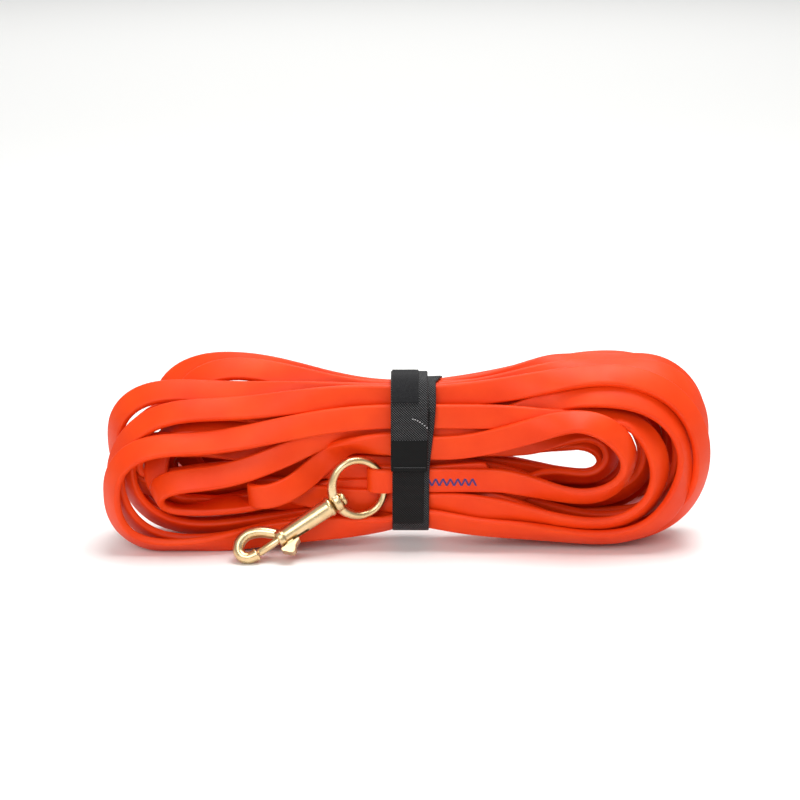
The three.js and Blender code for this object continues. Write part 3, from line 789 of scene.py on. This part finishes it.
def loop_place(distance):
    """Where a distance round the waist lies, from the top's middle to the front and on round."""
    arc = math.pi / 2 * TIE_CORNER
    centre = (TIE_HIGH + TIE_LOW) / 2
    rest = distance % LOOP_LENGTH
    corners = ((-1, 1), (-1, -1), (1, -1), (1, 1))
    legs = (FLAT_Y, 2 * FLAT_Z, 2 * FLAT_Y, 2 * FLAT_Z, FLAT_Y)
    for number, leg in enumerate(legs):
        turn = number * math.pi / 2
        outer = np.array([0, -math.sin(turn), math.cos(turn)])
        ahead = np.array([0, -math.cos(turn), -math.sin(turn)])
        if rest <= leg or number == 4:
            if number == 0:
                base = np.array([0, 0, TIE_HIGH])
            else:
                y, z = corners[number - 1]
                base = np.array([0, y * FLAT_Y, centre + z * FLAT_Z]) + outer * TIE_CORNER
            return base + ahead * rest, outer
        rest -= leg
        y, z = corners[number]
        if rest <= arc:
            angle = turn + rest / TIE_CORNER
            outer = np.array([0, -math.sin(angle), math.cos(angle)])
            return np.array([0, y * FLAT_Y, centre + z * FLAT_Z]) + outer * TIE_CORNER, outer
        rest -= arc


def band_lift(distance):
    """The band climbs onto its own first wrap just before it comes round."""
    return LAYER_STEP * smooth((distance - LOOP_LENGTH + CLIMB_START) / CLIMB_LENGTH)


def band_shift(distance):
    """The first wrap starts at the right of the top, and the second lies straight above it."""
    lean = BAND_LEAN * (1 - smooth((distance - 16) / 44))
    flare = BAND_FLARE * (1 - smooth((distance + 16) / 22))
    return lean + flare - BAND_LEFT * smooth((distance - 120) / 60)


def wrap(name, start, end, lift, shift, width, thick, finish, step=0.9):
    """A band round the waist: lift and shift say how far out and right it lies at a distance."""
    marks = np.linspace(start, end, int((end - start) / step) + 1)
    places = [loop_place(mark) for mark in marks]
    outers = np.array([outer for _, outer in places])
    sides = np.array([[shift(mark) + TIE_MIDDLE, 0, 0] for mark in marks])
    rise = np.array([lift(mark) + thick / 2 for mark in marks])[:, None]
    middles = np.array([point for point, _ in places]) + sides + outers * rise
    across = np.cross(np.gradient(middles, axis=0), outers)
    return ribbon(name, middles, outers, unit(across), width, thick, finish)


def stitch_row(distances, xs, lift, reach=0.5):
    """Short stitches lying across the band's face at matching distances and places."""
    routes = []
    for distance, x in zip(distances, xs):
        point, outer = loop_place(distance)
        base = point + outer * (lift + 0.05) + np.array([x + TIE_MIDDLE, 0, 0])
        u = np.linspace(-1, 1, 7)
        arch = STITCH_RISE * (1 - u**4)
        routes.append(base + np.stack([u * reach, 0 * u, 0 * u], axis=1) + outer * arch[:, None])
    return routes


def add_tie():
    tail = LOOP_LENGTH + TAIL_LENGTH
    top = LAYER_STEP + TIE_THICK
    band = wrap("tie_band_webbing", WRAP_START, tail, band_lift, band_shift, TIE_WIDTH, TIE_THICK,
                WEBBING)
    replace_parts(band, "tie_band")
    wrap("tie_tail_tab", tail - 16, tail + 0.7, lambda _: top - 0.12, lambda _: -BAND_LEFT,
         TIE_WIDTH - 0.5, 0.45, TAPE)
    hooks = wrap("tie_hooks", 22, 84, lambda _: TIE_THICK - PATCH_SUNK,
                 lambda mark: band_shift(mark) - 1.2, TIE_WIDTH - 3.2, 0.8, PATCH)
    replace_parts(hooks, "tie_hook_patch")
    loops = wrap("tie_loops", -6, 19, lambda _: top - PATCH_SUNK, lambda _: -2.9,
                 TIE_WIDTH - 5.4, 0.8, PILE)
    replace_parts(loops, "tie_loop_patch")
    xs = np.arange(-8.4, 8.5, 1.3)
    hem = stitch_row([TAIL_LENGTH - 1.6] * len(xs), xs, top + 0.33)
    end = threads("tie_tail_stitches", hem, 0.2, BLACK_THREAD)
    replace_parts(end, "tie_tail_thread")
    arc = np.linspace(0.05, 0.95, 7)
    row = stitch_row(26 + 5.2 * arc**1.6, 0.6 + 8.2 * arc, top, 0.22)
    patch = threads("tie_patch_stitches", row, 0.22, LIGHT_THREAD)
    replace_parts(patch, "tie_patch_thread")


# ------------------------------------------------------------------ the snap
EYE_RADIUS = 14.0
EYE_WIRE = 2.15
EYE_TALL = 1.12                 # the eye is this much taller than it is long
SNAP_ROLL = math.radians(40)


def snap_frames():
    """The eye's middle, then its axes and the snap's: along, across and up."""
    joint = JOINTS["snap_swivel"]
    along = Vector(joint["axis"]).normalized()
    level = Vector((along.x, along.y, 0)).normalized()
    across = Vector((-level.y, level.x, 0))
    up = along.cross(across)
    eye = np.array([along, across, up])
    turn = np.array([[1, 0, 0],
                     [0, math.cos(SNAP_ROLL), math.sin(SNAP_ROLL)],
                     [0, -math.sin(SNAP_ROLL), math.cos(SNAP_ROLL)]])
    return np.array(joint["pos_m"]) / MM, eye, turn @ eye


EYE_MIDDLE, EYE_FRAME, SNAP_FRAME = snap_frames()


def in_frame(points, axes):
    """From millimetres along those axes to the frame's metres."""
    return (EYE_MIDDLE + np.asarray(points) @ axes) * MM


def turned(profile, sides=48):
    """A profile of (along, radius) turned about the axis, with flat ends."""
    turns = np.linspace(0, 2 * math.pi, sides, endpoint=False)
    verts = [(along, radius * math.cos(turn), radius * math.sin(turn))
             for along, radius in profile for turn in turns]
    return verts, ring_faces(len(profile), sides, flip=True)


def swept(centres, normals, halves, sides=24):
    """An oval bar along centres: halves gives its half width across and in the bend's plane."""
    centres = np.asarray(centres, dtype=float)
    along = unit(np.gradient(centres, axis=0))
    inward = unit(np.cross(along, normals))
    turns = np.linspace(0, 2 * math.pi, sides, endpoint=False)
    rings = (centres[:, None, :] + normals[:, None, :] * (halves[:, :1] * np.cos(turns))[..., None]
             + inward[:, None, :] * (halves[:, 1:] * np.sin(turns))[..., None])
    return rings.reshape(-1, 3), ring_faces(len(centres), sides, flip=True)


def block(low, high):
    xs, ys, zs = zip(low, high)
    corners = [(x, y, z) for x in xs for y in ys for z in zs]
    return corners, [(0, 1, 3, 2), (4, 6, 7, 5), (0, 4, 5, 1), (2, 3, 7, 6), (0, 2, 6, 4), (1, 5, 7, 3)]


def joined(*solids):
    verts, faces = [], []
    for more, rings in solids:
        faces += [tuple(corner + len(verts) for corner in face) for face in rings]
        verts.extend(tuple(vert) for vert in more)
    return verts, faces


def face_outward(piece):
    mesh = bmesh.new()
    mesh.from_mesh(piece.data)
    bmesh.ops.recalc_face_normals(mesh, faces=mesh.faces)
    mesh.to_mesh(piece.data)
    mesh.free()


def applied(piece):
    """Replaces a piece's mesh by what its modifiers make of it."""
    graph = bpy.context.evaluated_depsgraph_get()
    mesh = bpy.data.meshes.new_from_object(piece.evaluated_get(graph), depsgraph=graph)
    piece.modifiers.clear()
    piece.data = mesh
    return piece


def cast(name, solids, axes, body, voxel=0.32, rounds=6, cuts=()):
    """Metal cast in one: the solids are fused, their joins softened, then the cuts are made."""
    verts, faces = joined(*solids)
    piece = new_object(name, in_frame(verts, axes), faces, body)
    face_outward(piece)
    fuse = piece.modifiers.new("fuse", "REMESH")
    fuse.mode = "VOXEL"
    fuse.voxel_size = voxel * MM
    soften = piece.modifiers.new("soften", "SMOOTH")
    soften.factor = 0.5
    soften.iterations = rounds
    applied(piece)
    for number, (cut_verts, cut_faces) in enumerate(cuts):
        mesh = bpy.data.meshes.new(f"{name}_cut_{number}")
        mesh.from_pydata([tuple(vert) for vert in in_frame(cut_verts, axes)], [], cut_faces)
        cutter = bpy.data.objects.new(mesh.name, mesh)
        bpy.context.scene.collection.objects.link(cutter)
        face_outward(cutter)
        carve = piece.modifiers.new("carve", "BOOLEAN")
        carve.operation = "DIFFERENCE"
        carve.solver = "EXACT"
        carve.object = cutter
        applied(piece)
        bpy.data.objects.remove(cutter)
    piece.data.shade_smooth()
    piece.data.set_sharp_from_angle(angle=math.radians(50))
    return finish_with(piece, BRASS)


def ring_bar():
    """The eye's wire: a round bar that thickens towards the boss."""
    turns = np.linspace(0, 2 * math.pi, 121)
    tall = EYE_TALL * EYE_RADIUS
    centres = np.stack([EYE_RADIUS * np.cos(turns), 0 * turns, tall * np.sin(turns)], axis=1)
    normals = np.tile([0.0, 1.0, 0.0], (len(turns), 1))
    from_boss = turns - 2 * math.pi * (turns > math.pi)
    thick = EYE_WIRE * (1 + 0.45 * np.exp(-((from_boss / 0.7) ** 2)))
    return swept(centres, normals, np.stack([thick * 1.04, thick * 0.98], axis=1), 28)


def add_eye():
    boss = turned([(11.2, 3.9), (11.6, 4.9), (12.3, 5.4), (14.8, 5.4), (15.5, 5.0), (15.9, 4.4)])
    eye = cast("snap_eye", [ring_bar(), boss], EYE_FRAME, "eye", rounds=5)
    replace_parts(eye, "swivel_eye")


def add_pin():
    verts, faces = turned([(8.2, 1.2), (8.3, 2.4), (8.7, 3.3), (9.5, 3.9), (10.3, 4.0), (10.8, 3.7),
                           (10.9, 2.2), (22.4, 2.2)])
    pin = new_object("snap_rivet", in_frame(verts, SNAP_FRAME), faces, "snap")
    face_outward(pin)
    pin.data.set_sharp_from_angle(angle=math.radians(45))
    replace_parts(finish_with(pin, BRASS), "swivel_pin")


# The hook's middle line: how far along the snap, and how far out from its axis.
HOOK_LINE = [(46.0, 0.6), (48.6, 2.6), (51.8, 5.8), (56.4, 9.6), (62.2, 11.8), (67.5, 10.8),
             (70.6, 7.6), (70.9, 3.7), (68.9, 1.2), (66.2, 0.2), (63.6, 0.0)]


def hook_bar():
    """The hook bows out from the barrel and comes back to the axis, oval in section."""
    line = np.array([(along, 0.0, bow) for along, bow in HOOK_LINE])
    marks = np.linspace(0, len(line) - 1 - 1e-6, 90)
    centres = spline(line, marks)
    normals = np.tile([0.0, 1.0, 0.0], (len(marks), 1))
    grow = smooth(marks / 2.5)
    halves = np.stack([2.6 + 0.85 * grow, 2.2 + 0.85 * grow], axis=1)
    return swept(centres, normals, halves)


def add_snap():
    barrel = turned([(16.4, 3.9), (17.0, 4.4), (17.4, 5.4), (18.6, 5.6), (19.2, 5.0), (20.2, 4.9),
                     (34, 4.6), (46.8, 4.3), (47.4, 4.9), (49.8, 4.9), (50.6, 4.3)])
    collar = turned([(63.2, 3.0), (63.6, 3.5), (64.5, 3.5), (65.0, 3.0)])
    slot = block((34, -2.0, -8), (49.4, 2.0, -1))
    chamber = turned([(22.8, 3.2), (48.6, 3.2)], 32)
    bore = turned([(48.0, 2.25), (62.0, 2.25)], 32)
    body = cast("snap_hook", [barrel, hook_bar(), collar], SNAP_FRAME, "snap", rounds=4,
                cuts=[chamber, slot, bore])
    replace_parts(body, "snap_body")


def add_spring():
    """Eight turns of wire along the chamber behind the bolt."""
    start, end, turns, radius = 23.2, 42.0, 8, 2.45
    marks = np.linspace(0, 1, turns * 18 + 1)
    angle = 2 * math.pi * turns * marks
    along = start + (end - start) * marks
    coil = np.stack([along, radius * np.cos(angle), radius * np.sin(angle)], axis=1)
    verts, faces = tube(coil, 0.38, 10)
    spring = new_object("snap_spring", in_frame(verts, SNAP_FRAME), faces, "snap")
    face_outward(spring)
    anchor = tuple(in_frame([(start, 0, 0)], SNAP_FRAME)[0])
    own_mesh(spring)
    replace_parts(finish_with(spring, STEEL), "bolt_spring")


def add_bolt():
    """A pin with a thicker head that slides in the barrel."""
    verts, faces = turned([(42.3, 2.4), (42.8, 2.9), (47.6, 2.9), (48.1, 2.3), (48.3, 2.0),
                           (62.3, 2.0), (62.8, 1.6)])
    pin = new_object("snap_bolt", in_frame(verts, SNAP_FRAME), faces, "bolt")
    face_outward(pin)
    pin.data.set_sharp_from_angle(angle=math.radians(40))
    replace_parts(finish_with(pin, BRASS), "bolt")


def add_stud():
    """A thumb wedge on a short shank, with three grip ridges on its slope."""
    outline = [(-5.4, -5.3), (-5.4, -6.5), (-3.6, -7.1), (-2.0, -8.2), (-1.0, -9.7), (0.2, -10.7),
               (1.7, -10.7), (2.9, -9.8), (4.2, -8.2), (5.6, -7.0), (5.6, -5.3)]
    middle = 46.3
    half = 3.6
    count = len(outline)
    verts = [(middle + along, side * half, up) for side in (-1, 1) for along, up in outline]
    faces = [tuple(range(count))[::-1], tuple(range(count, 2 * count))]
    for point in range(count):
        after = (point + 1) % count
        faces.append((point, after, count + after, count + point))
    shank = block((middle - 2.6, -1.4, -6), (middle + 2.6, 1.4, -3.2))
    ridge_verts, ridge_faces = turned([(-3.0, 0.3), (-2.7, 0.55), (2.7, 0.55), (3.0, 0.3)], 12)
    ridges = [([(middle + along + y, x, up + z) for x, y, z in ridge_verts], ridge_faces)
              for along, up in ((-4.0, -6.75), (-2.7, -7.35), (-1.5, -8.2))]
    stud = cast("snap_stud", [(verts, faces), shank, *ridges], SNAP_FRAME, "bolt", voxel=0.16,
                rounds=9)
    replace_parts(stud, "thumb_stud")


# ------------------------------------------------------------------ floor and lights
def add_floor():
    size = 9.0
    corners = [(-size, -size, 0), (size, -size, 0), (size, size, 0), (-size, size, 0)]
    mesh = bpy.data.meshes.new("floor")
    mesh.from_pydata(corners, [], [(0, 1, 2, 3)])
    floor = bpy.data.objects.new("floor", mesh)
    bpy.context.scene.collection.objects.link(floor)
    look = Shading("floor_white", 0.9)
    look.shader.inputs["Base Color"].default_value = (0.9, 0.9, 0.885, 1)
    mesh.materials.append(look.material)


def add_light(name, place_at, size, power, aim=(0, 0, 0.05)):
    light = bpy.data.lights.new(name, "AREA")
    light.energy = power
    light.size = size
    lamp = bpy.data.objects.new(name, light)
    lamp.location = place_at
    lamp.rotation_euler = (Vector(aim) - Vector(place_at)).to_track_quat("-Z", "Y").to_euler()
    bpy.context.scene.collection.objects.link(lamp)


def add_studio():
    add_floor()
    add_light("top", (0.25, 0.1, 1.6), 1.0, 25)
    add_light("front", (-0.5, -1.8, 1.3), 1.2, 19)
    add_light("back", (0, 3.0, 1.7), 3.0, 34, aim=(0, 3.0, 0))
    world = bpy.data.worlds.new("studio")
    bpy.context.scene.world = world
    world.use_nodes = True
    world.node_tree.nodes["Background"].inputs["Color"].default_value = (1, 1, 1, 1)
    world.node_tree.nodes["Background"].inputs["Strength"].default_value = 0.45
    bpy.context.scene.view_settings.view_transform = "Standard"


add_strap()
add_seam_threads()
add_tie()
add_eye()
add_pin()
add_snap()
add_bolt()
add_stud()
add_spring()
add_studio()
